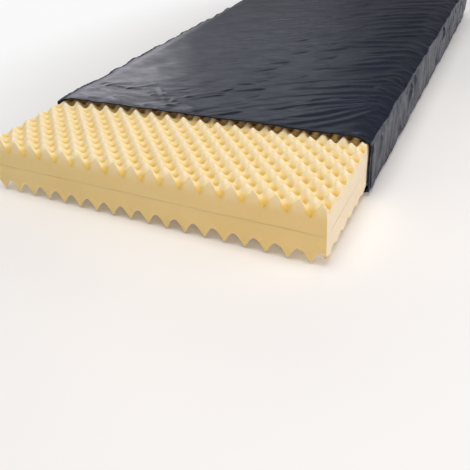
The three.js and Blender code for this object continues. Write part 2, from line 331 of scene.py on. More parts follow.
def foam_material():
    """Open-cell foam with light and shade painted by height: pale, as painted light, where its lift is
    high, and deeper yellow, as painted shade, where it is low.
    """
    made, tree = new_material("foam")
    place = turned(tree)
    lift = node(tree, "Attribute", attribute_name="lift").outputs["Fac"]
    # lift to colour: painted shade, deep yellow, down in the hollows; painted light, near white, on the
    # highest places
    colour = ramp(tree, lift, [(0.0, rgb(222, 184, 80)), (0.30, rgb(239, 209, 114)),
                               (0.60, rgb(250, 232, 184)), (0.85, rgb(254, 241, 217)),
                               (1.0, rgb(255, 244, 222))])
    patches = span(tree, grain(tree, place, 9, 4), 0.3, 0.7, 0, 1)
    blotch = ramp(tree, patches, [(0, rgb(236, 205, 130)), (1, rgb(255, 240, 205))])
    cells = node(tree, "TexVoronoi", {"Vector": place, "Scale": 620, "Randomness": 1},
                 feature="F1").outputs["Distance"]
    pores = ramp(tree, cells, [(0.10, rgb(205, 172, 100)), (0.42, rgb(255, 255, 255))], "LINEAR")
    colour = mixed(tree, 0.16, mixed(tree, 0.10, colour, blotch), pores, "MULTIPLY")
    rough = bump(tree, grain(tree, place, 900, 2, 0.6), 0.28, 0.0006)
    return shaded(made, Base_Color=colour, Normal=bump(tree, cells, 0.22, 0.0007, rough), Roughness=0.94,
                  Specular_IOR_Level=0.16, Subsurface_Weight=0.35, Subsurface_Scale=0.010,
                  Subsurface_Radius=(1.0, 0.78, 0.36), Sheen_Weight=0.08, Sheen_Roughness=0.6)


def mottled_material(name, patches, dark, light, roughness, fine, strength, depth):
    """Two tones in patches, the paler ones rougher, over a fine grain."""
    made, tree = new_material(name)
    patch = grain(tree, turned(tree), *patches)
    return shaded(made, Base_Color=ramp(tree, patch, [(0.3, dark), (0.7, light)]),
                  Roughness=span(tree, patch, 0.3, 0.7, *roughness),
                  Normal=bump(tree, grain(tree, turned(tree), fine), strength, depth))


def weave(tree, threads=1400.0):
    """Height of a fine plain weave, from the two directions of thread in whichever face it is on."""
    across, along = (bands(tree, turned(tree, rotation=(0, 0, angle)), threads / (2 * math.pi), 0.6,
                           detail=1, detail_scale=60)
                     for angle in (0, math.pi / 2))
    return product(tree, across, along)


def nylon_material(name, dark, light, roughness):
    """Navy nylon with a thin coating: fine weave, a satin sheen, and paler rubbed ridges."""
    made, tree = new_material(name)
    place = turned(tree)
    tone = grain(tree, turned(tree, scale=(1, 3, 3)), 5, 5, 0.6)
    colour = ramp(tree, tone, [(0.32, dark), (0.70, light)])
    ridge = node(tree, "Attribute", attribute_name="lift").outputs["Fac"]
    rubbed = span(tree, grain(tree, place, 130, 4, 0.7), 0.45, 0.75, 0, 1)
    worn = product(tree, span(tree, ridge, 0.45, 1.0, 0, 0.22), rubbed)
    mottle = grain(tree, turned(tree, scale=(1, 2.5, 2.5)), 22, 4)
    woven = bump(tree, weave(tree), 0.12, 0.00025)
    return shaded(made, Base_Color=mixed(tree, worn, colour, rgb(112, 116, 130)),
                  Normal=bump(tree, grain(tree, place, 260, 3), 0.10, 0.0006, woven),
                  Roughness=span(tree, mottle, 0.3, 0.7, roughness - 0.05, roughness + 0.07),
                  Specular_IOR_Level=0.42, Sheen_Weight=0.08, Sheen_Roughness=0.45,
                  Sheen_Tint=rgb(150, 164, 205), Specular_Tint=rgb(214, 224, 248))


def thread_material():
    """Twisted polyester sewing thread."""
    made, tree = new_material("thread")
    twist = bands(tree, turned(tree), 900, 1)
    colour = ramp(tree, twist, [(0.2, rgb(38, 43, 58)), (0.8, rgb(92, 98, 118))])
    return shaded(made, Base_Color=colour, Roughness=0.6, Normal=bump(tree, twist, 0.4, 0.0002))


def tape_material():
    """Woven zip tape: matt, with lengthwise ribs."""
    made, tree = new_material("zip_tape")
    ribs = bands(tree, turned(tree), 260, 0.4, "Z")
    woven = product(tree, ribs, bands(tree, turned(tree), 330, 0.4, "Y"))
    colour = ramp(tree, woven, [(0.1, rgb(20, 22, 30)), (0.9, rgb(52, 56, 68))])
    return shaded(made, Base_Color=colour, Roughness=0.85, Normal=bump(tree, woven, 0.6, 0.0004))


def zinc_material():
    """Die-cast zinc, brushed and a little tarnished in patches."""
    made, tree = new_material("zip_metal")
    brushed = grain(tree, turned(tree, scale=(1, 0.06, 1)), 2600, 3, 0.7)
    tarnish = grain(tree, turned(tree), 420, 4, 0.6)
    colour = ramp(tree, tarnish, [(0.35, rgb(150, 150, 152)), (0.7, rgb(196, 197, 200))])
    return shaded(made, Base_Color=colour, Metallic=1.0, Normal=bump(tree, brushed, 0.15, 0.00015),
                  Roughness=span(tree, tarnish, 0.3, 0.7, 0.26, 0.46))


BACKDROP = rgb(248, 248, 248)
FLOOR_GLOW = 0.09  # how bright the floor is by itself, close to the mattress


def floor_material():
    """A plain, pale, matt floor that glows like the backdrop once it is well clear of the mattress."""
    made, tree = new_material("floor")
    tone = grain(tree, turned(tree), 1.5, 2)
    colour = ramp(tree, tone, [(0.3, rgb(240, 240, 241)), (0.7, rgb(244, 244, 244))])
    shrunk = turned(tree, scale=(1, 0.6, 1))
    distance = node(tree, "VectorMath", {0: shrunk}, operation="LENGTH").outputs["Value"]
    away = ramp(tree, span(tree, distance, 0.55, 1.5, 0, 1), [(0, rgb(0, 0, 0)), (1, rgb(255, 255, 255))])
    return shaded(made, Base_Color=mixed(tree, away, colour, rgb(0, 0, 0)), Roughness=0.9,
                  Specular_IOR_Level=0.05, Emission_Color=BACKDROP,
                  Emission_Strength=span(tree, away, 0, 1, FLOOR_GLOW, 1))


FOAM = foam_material()
ADHESIVE = mottled_material("adhesive", (45, 4), rgb(196, 156, 88), rgb(222, 188, 122), (0.5, 0.8),
                            300, 0.3, 0.0005)
NYLON = nylon_material("nylon", rgb(18, 24, 38), rgb(25, 32, 48), 0.37)
STITCHED = nylon_material("stitched_nylon", rgb(22, 28, 42), rgb(33, 40, 56), 0.44)
# the seams' ridges: the navy nylon made far paler, a painted highlight where they stand up into the light,
# along with some stretched, rubbed wear
SEAM_RIDGE_HIGHLIGHT = nylon_material("seam_ridge_painted_highlight", rgb(56, 62, 77), rgb(92, 99, 115), 0.46)
# near-black nylon for the hem's rolled edge: painted shadow, the dark line under the cover's open edge
ROLLED_EDGE_SHADOW = nylon_material("rolled_edge_painted_shadow", rgb(5, 6, 9), rgb(11, 12, 16), 0.75)
THREAD = thread_material()
TAPE = tape_material()
COIL = mottled_material("zip_coil", (160, 3), rgb(22, 24, 31), rgb(40, 43, 54), (0.32, 0.5),
                        1500, 0.1, 0.0002)
ZINC = zinc_material()


def finish_piece(made, material, body, slot, *nodes):
    """Gives a new piece its material and body, and hides the CAD nodes that it stands for. slot is not
    used.
    """
    outward(made)
    made.data.materials.append(material)
    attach(made, body)
    if nodes:
        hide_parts(*nodes)
    return made


# The cover's shape: shared by the panels, hems, seams and the foam pressed under them
def open_edge(x):
    """Y of the cover's open edge, which runs slightly askew."""
    return EDGE_LEFT_Y + (EDGE_RIGHT_Y - EDGE_LEFT_Y) * (x + HALF_WIDTH) / (2 * HALF_WIDTH)


def fall(x, y):
    """How far the cover has come down towards its seams: 0 over the middle, 1 at a seam."""
    side = np.clip((abs(x) - (WALL_X - EASE)) / EASE, 0, 1)
    head = np.clip((y - (WALL_HEAD_Y - EASE)) / EASE, 0, 1)
    return np.minimum((side**4 + head**4) ** 0.25, 1)


SEAM_RISE, SEAM_RISE_FINE, SEAM_BULGE = 0.0046, 0.0016, 0.0024
CORNER_REACH = 0.05  # a seam settles onto its line over this distance before a corner


def seam_rise(s, clear, seed):
    """How far a top seam rides up and down along its run. clear is the distance left to its corner."""
    waver = SEAM_RISE * noise(s / 0.050, 0.5, seed) + SEAM_RISE_FINE * noise(s / 0.019, 0.2, seed + 1)
    return waver * smooth(0, CORNER_REACH, clear)


def seam_bulge(s, clear, seed):
    """How far a seam stands out sideways along its run."""
    return SEAM_BULGE * (1 + noise(s / 0.060, 0.4, seed + 60)) * smooth(0, CORNER_REACH, clear)


TOP_SEEDS = {"right": 31, "left": 35, "head": 39}
BOTTOM_SEEDS = {"right": 45, "left": 47, "head": 49}


def runs_along(x, y):
    """Each seam of the top, for a place: (name, run along it, run left to its corner, distance in)."""
    return (("right", y, WALL_HEAD_Y - y, WALL_X - x), ("left", y, WALL_HEAD_Y - y, WALL_X + x),
            ("head", x, WALL_X - abs(x), WALL_HEAD_Y - y))


def drop(x, y):
    """How far the cover lies below its middle: it eases down to the seams, with a groove beside them."""
    inward = np.minimum(WALL_X - abs(x), WALL_HEAD_Y - y)
    total = EASE_DROP * fall(x, y) ** 1.7 + 0.0016 * np.exp(-(((inward - 0.008) / 0.006) ** 2))
    for label, s, clear, apart in runs_along(x, y):
        total = total - seam_rise(s, clear, TOP_SEEDS[label]) * np.exp(-((apart / 0.018) ** 2))
    return total


def spread(x, y, seeds):
    """Plan positions of the top or bottom panel, carried out with its seams where they bulge."""
    side_bulge = np.where(x > 0, seam_bulge(y, WALL_HEAD_Y - y, seeds["right"]),
                          seam_bulge(y, WALL_HEAD_Y - y, seeds["left"]))
    head_bulge = seam_bulge(x, WALL_X - abs(x), seeds["head"])
    return (x + np.sign(x) * side_bulge * np.exp(-(WALL_X - abs(x)) / 0.012),
            y + head_bulge * np.exp(-(WALL_HEAD_Y - y) / 0.012))


def stroke(x, y, start, heading, length, width, height, bend):
    """One fold: a rounded ridge from start, in the plan direction heading, that rises and dies away."""
    dx, dy = x - start[0], y - start[1]
    along = dx * math.cos(heading) + dy * math.sin(heading)
    across = -dx * math.sin(heading) + dy * math.cos(heading) - bend * along * along / length
    share = np.clip(along / length, 0, 1)
    envelope = np.minimum(share / 0.12, 1) ** 0.8 * (1 - share) ** 0.7
    spread_out = width * (0.55 + 0.9 * share)
    flank = np.where(across > 0, 0.75, 1.25) * spread_out
    return height * envelope * np.exp(-((across / flank) ** 2))


def pucker(s, seed):
    """Gathers along a seam, 0 to 1, at uneven spacing."""
    phase = s / 0.0165 + 1.5 * noise(s / 0.055, 0.3, seed)
    size = 0.55 + 0.45 * noise(s / 0.11, 0.7, seed + 1)
    return np.clip(size, 0.1, 1) * (0.5 + 0.5 * np.cos(2 * math.pi * phase)) ** 1.3


def piled(x, y, folds):
    """Height of many folds together: the highest, with some of those under it."""
    x, y = np.broadcast_arrays(np.asarray(x, float), np.asarray(y, float))
    total = np.zeros(x.size)
    flat_x, flat_y = x.ravel(), y.ravel()
    order = np.argsort(flat_y)
    sorted_y = flat_y[order]
    for fold in folds:
        start, heading, length, width, _, bend = fold
        reach = 4 * width + abs(bend) * length
        ends = (start[1], start[1] + length * math.sin(heading))
        first, last = np.searchsorted(sorted_y, (min(ends) - reach, max(ends) + reach))
        near = order[first:last]
        total[near] = np.hypot(total[near], stroke(flat_x[near], flat_y[near], *fold))
    return total.reshape(x.shape)


def drawn_fold(rng, start, facing, turns, lengths, widths, heights, bends, sense=1):
    """A fold drawn between limits: (start, heading, length, width, height, bend)."""
    turn, *rest = (rng.uniform(*limits) for limits in (turns, lengths, widths, heights, bends))
    return (start, facing + sense * math.radians(turn), *rest)


WEST = math.pi  # the heading of a fold that runs straight from right to left
PLEAT_X, PLEAT_Y = WALL_X - 0.028, FOOT_Y + 0.505
# the folds that fan out from that pleat: how far past it, turn from west, length, width, height, bend
FAN = ((-0.006, 78, 0.24, 0.0120, 0.0042, -0.50), (-0.003, 52, 0.30, 0.0120, 0.0050, -0.16),
       (0.0, 34, 0.40, 0.0135, 0.0064, 0.08), (0.006, 24, 0.34, 0.0120, 0.0058, 0.22),
       (0.030, 17, 0.38, 0.0135, 0.0058, 0.26), (0.060, 17, 0.42, 0.0145, 0.0054, 0.22),
       (0.092, 16, 0.46, 0.0150, 0.0054, 0.20))
SHORT_FOLDS, BROAD_FOLDS, CRINKLES = 210, 30, 34


def long_folds():
    """Folds of the top: a fan from a pleat near the right seam, long ones from that seam across the
    mattress, nearer the foot as they go left, and short and broad ones between."""
    rng = np.random.default_rng(7)
    found = [((PLEAT_X, PLEAT_Y + ahead), WEST + math.radians(turn), *sizes)
             for ahead, turn, *sizes in FAN]
    by_corner = (WALL_X - 0.010, EDGE_RIGHT_Y + 0.034)
    found.append((by_corner, WEST + math.radians(16), 0.10, 0.0085, 0.0062, 0.10))
    y = PLEAT_Y + 0.13
    while y < HEAD_Y - 0.06:
        for _ in range(rng.integers(1, 3)):
            start = (PLEAT_X - rng.uniform(-0.006, 0.03), y + rng.uniform(-0.010, 0.010))
            found.append(drawn_fold(rng, start, WEST, (8, 24), (0.20, 0.46), (0.0110, 0.0165),
                                    (0.0034, 0.0060), (0.06, 0.26)))
        y += rng.uniform(0.042, 0.074)
    for _ in range(SHORT_FOLDS):
        start = (rng.uniform(-0.20, 0.40), rng.uniform(FOOT_Y + 0.33, HEAD_Y - 0.08))
        found.append(drawn_fold(rng, start, WEST, (20, 44), (0.07, 0.22), (0.0080, 0.0140),
                                (0.0014, 0.0036), (-0.10, 0.22)))
    for _ in range(BROAD_FOLDS):
        start = (rng.uniform(-0.40, 0.0), rng.uniform(FOOT_Y + 0.30, HEAD_Y - 0.08))
        found.append(drawn_fold(rng, start, WEST, (-70, 40), (0.10, 0.24), (0.018, 0.030),
                                (0.0014, 0.0030), (-0.3, 0.3)))
    return found + seam_pleats(rng)


def seam_pleats(rng):
    """Short pleats that run in from the side seams across the band where the cover falls."""
    found = []
    for side, inward, tallest in ((1, WEST, 0.0062), (-1, 0.0, 0.0040)):
        y = FOOT_Y + 0.31
        while y < HEAD_Y - 0.02:
            start = (side * (WALL_X - 0.001), y)
            found.append(drawn_fold(rng, start, inward, (-34, 34), (0.045, 0.095), (0.0065, 0.0120),
                                    (0.3 * tallest, 0.9 * tallest), (-0.3, 0.3)))
            y += rng.uniform(0.020, 0.056)
    return found


def corner_crinkles():
    """Small creases left in the cloth behind the hem at the left corner, where the cover was pulled."""
    rng = np.random.default_rng(12)
    found = []
    for _ in range(CRINKLES):
        x = rng.uniform(-0.44, -0.10)
        start = (x, open_edge(x) + rng.uniform(0.022, 0.150))
        found.append(drawn_fold(rng, start, 0.0, (-50, 42), (0.04, 0.10), (0.0065, 0.0120),
                                (0.0012, 0.0030), (-0.4, 0.4)))
    return found


LONG_FOLDS = long_folds()
CORNER_CRINKLES = corner_crinkles()
SLANT = 0.55  # radians; how far the ripples between the folds turn from the mattress's width
TOP_PUCKERS = {"right": 0.0030, "left": 0.0024, "head": 0.0026}


def top_lift(x, y):
    """Height of the cover's top above its smooth shape."""
    wavy_x = x + 0.006 * noise(x / 0.09, y / 0.07, 27)
    wavy_y = y + 0.0055 * noise(x / 0.075, y / 0.055, 26)
    total = piled(wavy_x, wavy_y, LONG_FOLDS) * (0.22 + 0.78 * smooth(-0.36, 0.16, x))
    total = total + piled(wavy_x, wavy_y, CORNER_CRINKLES)
    across = x * math.cos(SLANT) + y * math.sin(SLANT)
    along = y * math.cos(SLANT) - x * math.sin(SLANT)
    slack = 0.25 + 0.75 * smooth(-0.35, 0.10, x)
    ripple = 0.0017 * lumps(across / 0.13, along / 0.040, 22)
    ripple = ripple + 0.0006 * lumps(across / 0.07, along / 0.021, 23)
    total = total + 0.0034 * lumps(across / 0.24, along / 0.11, 21) + slack * ripple
    soft = lumps(x / 0.10 + y / 0.16, y / 0.085 - x / 0.14, 24)
    total = total + 0.0034 * soft * (1 - smooth(-0.32, -0.02, x))
    pinned = np.minimum(smooth(0.0, 0.030, WALL_X - abs(x)), smooth(0.0, 0.030, WALL_HEAD_Y - y))
    total = total * (0.25 + 0.75 * pinned)
    for label, s, _, inward in runs_along(x, y):
        puckers = TOP_PUCKERS[label] * pucker(s, TOP_SEEDS[label])
        total = total + puckers * np.exp(-inward / 0.020) * smooth(0, 0.005, inward)
    return total


def top_skin(x, y, lift=0.0):
    """Points on the outer side of the cover's top, or lift above it."""
    height = TOP_UNDER_Z + CLOTH - drop(x, y) + top_lift(x, y)
    return placed(*spread(x, y, TOP_SEEDS), height + lift)


def bottom_skin(x, y, lift=0.0):
    """Points on the outer side of the cover's bottom, which lies on the floor; lift goes downwards."""
    return placed(*spread(x, y, BOTTOM_SEEDS), 0.0001 + EASE_DROP * fall(x, y) ** 2 - lift)


def seam_sway(s, seed):
    """Small wander of a sewn ridge to either side of its seam."""
    return 0.0007 * noise(s / 0.030, 0.5, seed)


# Foam core
def wave(x, y, facing):
    """Place of the foam's surface within its relief: -1 at its lowest, 1 at its highest. The lowest points
    are sharp, the highest pointed on the top face and plainly rounded on the bottom one."""
    across = np.cos(math.pi * (x - PEAK_COLUMN) / HALF_PERIOD)
    along = np.cos(math.pi * (y - FOOT_Y) / HALF_PERIOD)
    cone = np.sqrt((1 + across * along) / 2 + TIP_ROUNDING**2) - TIP_ROUNDING
    sharp_pits = 2 * cone / (math.sqrt(1 + TIP_ROUNDING**2) - TIP_ROUNDING) - 1
    if facing < 0:
        return sharp_pits
    pointed = np.arcsin(PEAK_POINTEDNESS * across * along) / math.asin(PEAK_POINTEDNESS)
    return 0.4 * sharp_pits + 0.6 * pointed


def half_period_lines(start, halves, divisions, crowding=0.35):
    """Grid lines over whole half periods, closer together at the peaks and pits."""
    u = np.arange(divisions) / divisions
    u = u - crowding * np.sin(2 * math.pi * u) / (2 * math.pi)
    return (start + HALF_PERIOD * (np.arange(halves)[:, None] + u)).ravel()


def framed(lines, low, high, bevel):
    """The lines between two faces, with two more beside each face that round off its edge."""
    inside = lines[(lines > low + 2.6 * bevel) & (lines < high - 2.6 * bevel)]
    return np.concatenate([[low + bevel, low + 2 * bevel], inside, [high - 2 * bevel, high - bevel]])


def trimmed(lines, step):
    """The lines, less a few past the middle, so that their gaps divide into whole steps."""
    extra = (len(lines) - 1) % step
    first = len(lines) * 3 // 4
    return np.delete(lines, [first + 5 * k for k in range(extra)])


BEVEL = 0.0009
FINE_HALVES = 13  # half periods from the foot end that have the finer grid
COARSE_FOAM = 8  # the glued face has every eighth line of the convoluted one
RIM_LEAN, RIM_LEAN_REACH = 0.0065, 0.020  # how far the foam's cut peaks lean in, and over what width
lines_x = half_period_lines(PEAK_COLUMN - 2 * PERIODS_WIDE * HALF_PERIOD, 2 * PERIODS_WIDE + 1, 7)
COVERED_HALVES = 2 * PERIODS_LONG - FINE_HALVES
lines_y = np.concatenate([half_period_lines(FOOT_Y, FINE_HALVES, 8),
                          half_period_lines(FOOT_Y + FINE_HALVES * HALF_PERIOD, COVERED_HALVES, 4)])
pad_x = trimmed(framed(lines_x, -HALF_WIDTH, HALF_WIDTH, BEVEL), COARSE_FOAM)
pad_y = trimmed(framed(lines_y, FOOT_Y, HEAD_Y, BEVEL), COARSE_FOAM)


def seam_height(x, y):
    """Height of the glued joint between the pads, which wanders a little."""
    return MID_Z + 0.0012 * noise(x / 0.19, y / 0.23, 51)


def leaned(points, depth):
    """Points of the top pad, drawn in near its cut sides where the foam stands high."""
    shift = RIM_LEAN * np.clip(1 - depth / RELIEF[1], 0, 1) ** 2
    moved = points.copy()
    beside = np.clip(1 - (HALF_WIDTH - abs(points[..., 0])) / RIM_LEAN_REACH, 0, 1)
    moved[..., 0] -= np.sign(points[..., 0]) * shift * beside
    front = np.clip(1 - (points[..., 1] - FOOT_Y) / RIM_LEAN_REACH, 0, 1)
    moved[..., 1] += shift * front
    return moved


def soft_min(a, b, softness):
    """The lower of two heights, blended where they meet."""
    gap = np.clip(0.5 + 0.5 * (b - a) / softness, 0, 1)
    return b + (a - b) * gap - softness * gap * (1 - gap)


GLUE_GAP = 0.00012  # from the middle of the glue to each pad
WALL_SHARES = (0.0, 0.03, 0.08, 0.15, 0.23, 0.32, 0.42, 0.54, 0.66, 0.79, 0.90, 0.97, 1.0)


def foam_face(x, y, facing):
    """Depth of a pad's convoluted face, in from its peaks. Under the cover it is pressed in."""
    uneven = 0.0007 * noise(x / 0.07, y / 0.07, 52) + 0.0004 * noise(x / 0.02, y / 0.02, 53)
    depth = RELIEF[facing] / 2 * (1 - facing * wave(x, y, facing))
    depth = np.maximum(depth + uneven + 0.0004, 0)
    pressed = (drop(x, y) + 0.0002) * smooth(-0.020, 0.004, y - open_edge(x))
    return np.maximum(-soft_min(-depth, -pressed, 0.0035), pressed)


def cut_wall(rim):
    """The rim's points carried out onto the pad's cut sides, and the direction out at each."""
    wall = rim.copy()
    x, y = rim[:, 0], rim[:, 1]
    reach = 1.01 * BEVEL
    wall[:, 0] = np.where(abs(x) > HALF_WIDTH - reach, np.sign(x) * HALF_WIDTH, x)
    wall[:, 1] = np.where(y < FOOT_Y + reach, FOOT_Y, np.where(y > HEAD_Y - reach, HEAD_Y, y))
    return wall, unit(wall[:, :2] - rim[:, :2])


def foam_pad(name, facing):
    """One pad: the convoluted face, its cut sides, and the flat face glued to the other pad. Its lift runs
    from 0 at the face's lowest to 1 at its highest, which the foam material paints as shade low down and
    light high up; the cut sides get painted shade of their own, deepest on the foot face."""
    x, y = np.meshgrid(pad_x, pad_y, indexing="ij")
    depth = foam_face(x, y, facing)
    outer = placed(x, y, PEAK_Z - depth if facing > 0 else TIP_Z + depth)
    lift = (1 + wave(x, y, facing)) / 2
    rim = np.array(rim_of(len(pad_x), len(pad_y)))
    wall, out = cut_wall(outer.reshape(-1, 3)[rim])
    # the cut sides' lift: lower on the foot face, painted shade, and capped lower there by palest
    at_foot = out[:, 1] < -0.5
    painted_shade_by_side, palest = np.where(at_foot, 0.46, 0.80), np.where(at_foot, 0.76, 1.0)
    start = wall[:, 2] - facing * BEVEL
    joint = seam_height(wall[:, 0], wall[:, 1]) + facing * GLUE_GAP
    along = wall[:, 0] + wall[:, 1]
    walls, tones = [], [lift.ravel()]
    for share in WALL_SHARES:
        ring = wall.copy()
        ring[:, 2] = start + (joint - start) * share
        swell = 0.0007 * noise(along / 0.12, ring[:, 2] / 0.06, 54 + facing)
        swell = swell + 0.00025 * noise(along / 0.013, ring[:, 2] / 0.011, 57 + facing) - 0.0003
        if facing < 0:
            swell = swell - 0.00015
        ring[:, :2] += out * swell[:, None]
        tone = painted_shade_by_side
        if facing > 0:
            ring = leaned(ring, PEAK_Z - ring[:, 2])
            level = PEAK_Z - wall[:, 2] + share * (wall[:, 2] - MID_Z)
            # near the top edge of the top pad's cut sides, the pale lift of the peaks above: painted light
            # that fades downwards
            painted_light_near_top = 1 - smooth(0.004, 1.15 * RELIEF[1], level)
            tone = tone + 0.85 * painted_light_near_top * (np.clip(lift.ravel()[rim], 0.75 * painted_light_near_top, palest) - tone)
        walls.append(ring)
        tones.append(tone)
    coarse_x, coarse_y = x[every(COARSE_FOAM)], y[every(COARSE_FOAM)]
    inner = placed(coarse_x, coarse_y, seam_height(coarse_x, coarse_y) + facing * GLUE_GAP)
    return shell(name, leaned(outer, depth) if facing > 0 else outer, inner, walls, np.concatenate(tones))


for label, facing in (("top", 1), ("bottom", -1)):
    pad = finish_piece(foam_pad(f"{label}_pad_foam", facing), FOAM, "core", "foam", f"{label}_foam_pad")

GLUE_INSET, GLUE_HALF = 0.0006, 0.00008  # how far it stops short of the pads' sides, half its thickness


def adhesive_layer():
    """The glue between the pads, just short of their sides."""
    x, y = np.meshgrid(np.linspace(-HALF_WIDTH + GLUE_INSET, HALF_WIDTH - GLUE_INSET, 61),
                       np.linspace(FOOT_Y + GLUE_INSET, HEAD_Y - GLUE_INSET, 131), indexing="ij")
    upper, lower = (placed(x, y, seam_height(x, y) + half) for half in (GLUE_HALF, -GLUE_HALF))
    return shell("adhesive_film", upper, lower)


finish_piece(adhesive_layer(), ADHESIVE, "core", "adhesive", "adhesive_layer")


# Cover: top and bottom
COARSE = every(4)  # the lines that the cloth's inner side has


def nylon_panel(name, outer, inner, lift, full_lift, node_name):
    """A panel of the cover. full_lift is the height at which its folds are rubbed palest."""
    made = shell(name, outer, inner, lift=np.clip(lift / full_lift, 0, 1))
    return finish_piece(made, NYLON, "cover", "nylon", node_name)


def face_grid(count_x, count_y, near_share):
    """A grid from the hem to the head seam, closer together at the foot where near_share is low."""
    v = np.linspace(0, 1, count_y)
    across, along = np.meshgrid(np.linspace(-1, 1, count_x) * (WALL_X - SEAM_GAP),
                                near_share * v + (1 - near_share) * v**2.2, indexing="ij")
    start = open_edge(across) + HEM
    return across, start + along * (WALL_HEAD_Y - SEAM_GAP - start)


def top_panel():
    x, y = face_grid(257, 329, 0.42)
    coarse_x, coarse_y = x[COARSE], y[COARSE]
    inner = placed(*spread(coarse_x, coarse_y, TOP_SEEDS), TOP_UNDER_Z - drop(coarse_x, coarse_y))
    return nylon_panel("top_sheet", top_skin(x, y), inner, top_lift(x, y), 0.009, "cover_top_panel")


def bottom_panel():
    x, y = face_grid(129, 161, 0.6)
    coarse_x, coarse_y = x[COARSE], y[COARSE]
    height = BOTTOM_TOP_Z + EASE_DROP * fall(coarse_x, coarse_y) ** 2
    inner = placed(*spread(coarse_x, coarse_y, BOTTOM_SEEDS), height)
    return nylon_panel("bottom_sheet", bottom_skin(x, y), inner, np.zeros_like(x), 1, "cover_bottom_panel")


top_sheet = top_panel()
bottom_sheet = bottom_panel()


# Cover: walls
def creases(s, z, seed, reach, count):
    """Short, steep creases in a side of the cover, as height outwards. Some rise from its bottom seam, and
    the others hang from its top one."""
    rng = np.random.default_rng(seed)
    folds = []
    for _ in range(count):
        upward = rng.random() < 0.3
        run = rng.uniform(*reach)
        height = rng.uniform(0.012, 0.05) if upward else rng.uniform(0.11, 0.145)
        folds.append(drawn_fold(rng, (height, run), math.pi / 2, (48, 118), (0.06, 0.15), (0.012, 0.024),
                                (0.0034, 0.0080), (-0.25, 0.25), -1 if upward else 1))
    return piled(z, s + 0.006 * noise(s / 0.08, z / 0.05, seed + 9), folds)


def wall_lift(s, z, seed, reach, count):
    """How far a wall's fabric stands out from its flat shape."""
    total = creases(s, z, seed, reach, count) + 0.0040 * lumps(s / 0.13, z / 0.09, seed + 1)
    phase = s / 0.052 + 0.8 * noise(s / 0.14, z / 0.13, seed + 2) + 0.35 * (z / 0.13)
    tall = 0.55 + 0.45 * noise(s / 0.12, z / 0.20, seed + 3)
    total = total + 0.0046 * tall * (0.5 + 0.5 * np.cos(2 * math.pi * phase)) ** 1.2
    held = np.minimum(smooth(0, 0.022, TOP_SEAM_Z - z), smooth(0, 0.016, z - BOTTOM_SEAM_Z))
    total = total * (0.2 + 0.8 * held)
    for edge, reach_in in ((TOP_SEAM_Z, 0.014), (BOTTOM_SEAM_Z, 0.012)):
        inward = abs(z - edge)
        total = total + 0.0020 * pucker(s, seed + 4) * np.exp(-inward / reach_in) * smooth(0, 0.005, inward)
    return total


def wall_panel(name, place, run, rise, counts, seed, count, node_name, calm=None):
    """A side of the cover, between two places of its run and two heights, with count creases. place turns
    (run, height, distance out) into points. calm is the height of a zip, if there is one, and the height
    where the creases beside it are whole again."""
    s, z = np.meshgrid(np.linspace(*run, counts[0]), np.linspace(*rise, counts[1]), indexing="ij")
    lift = wall_lift(s, z, seed, run, count)
    if calm:
        lift = lift * smooth(*calm, z)
    inner = place(s[COARSE], z[COARSE], -CLOTH / 2)
    return nylon_panel(name, place(s, z, lift + CLOTH / 2), inner, lift, 0.008, node_name)


def beside_seams(s, z, clear, label):
    """How a wall follows its wandering top and bottom seams: (rise, distance out)."""
    near_top = smooth(TOP_SEAM_Z - 0.045, TOP_SEAM_Z, z)
    near_bottom = 1 - smooth(BOTTOM_SEAM_Z, BOTTOM_SEAM_Z + 0.022, z)
    out = (near_top * seam_bulge(s, clear, TOP_SEEDS[label])
           + near_bottom * seam_bulge(s, clear, BOTTOM_SEEDS[label]))
    return near_top * seam_rise(s, clear, TOP_SEEDS[label]), out


def right_place(s, z, out):
    rise, bulge = beside_seams(s, z, WALL_HEAD_Y - s, "right")
    return placed(WALL_X + out + bulge, s, z + rise)


def left_place(s, z, out):
    rise, bulge = beside_seams(s, z, WALL_HEAD_Y - s, "left")
    return placed(-WALL_X - out - bulge, s, z + rise)


def head_place(s, z, out):
    rise, bulge = beside_seams(s, z, WALL_X - abs(s), "head")
    return placed(s, WALL_HEAD_Y + out + bulge, z + rise)


ABOVE_ZIP, BELOW_ZIP = (ZIP_HIGH, ZIP_HIGH + 0.03), (ZIP_LOW, ZIP_LOW - 0.02)
RIGHT_SEED, RIGHT_CREASES = 61, 40  # the right hem repeats this side's creases
RISE = (BOTTOM_SEAM_Z + SEAM_GAP, TOP_SEAM_Z - SEAM_GAP)
RIGHT_RUN, LEFT_RUN = ((edge + HEM, WALL_HEAD_Y - SEAM_GAP) for edge in (EDGE_RIGHT_Y, EDGE_LEFT_Y))
HEAD_RUN = (-WALL_X + SEAM_GAP, WALL_X - SEAM_GAP)
right_side = wall_panel("right_side", right_place, RIGHT_RUN, RISE, (433, 41), RIGHT_SEED, RIGHT_CREASES,
                        "cover_right_side_panel")
head_side = wall_panel("head_side", head_place, HEAD_RUN, RISE, (241, 41), 71, 24, "cover_head_panel")
left_upper = wall_panel("left_side_upper", left_place, LEFT_RUN, (UPPER_PANEL_LOW, RISE[1]), (433, 25),
                        81, 36, "cover_left_upper_panel", ABOVE_ZIP)
left_lower = wall_panel("left_side_lower", left_place, LEFT_RUN, (RISE[0], LOWER_PANEL_HIGH), (433, 13),
                        91, 24, "cover_left_lower_panel", BELOW_ZIP)


# Cover: seams and hems
SEAM_SIDES = 12


def circle_angles(count):
    """The angles of count points round a circle."""
    return 2 * math.pi * np.arange(count) / count


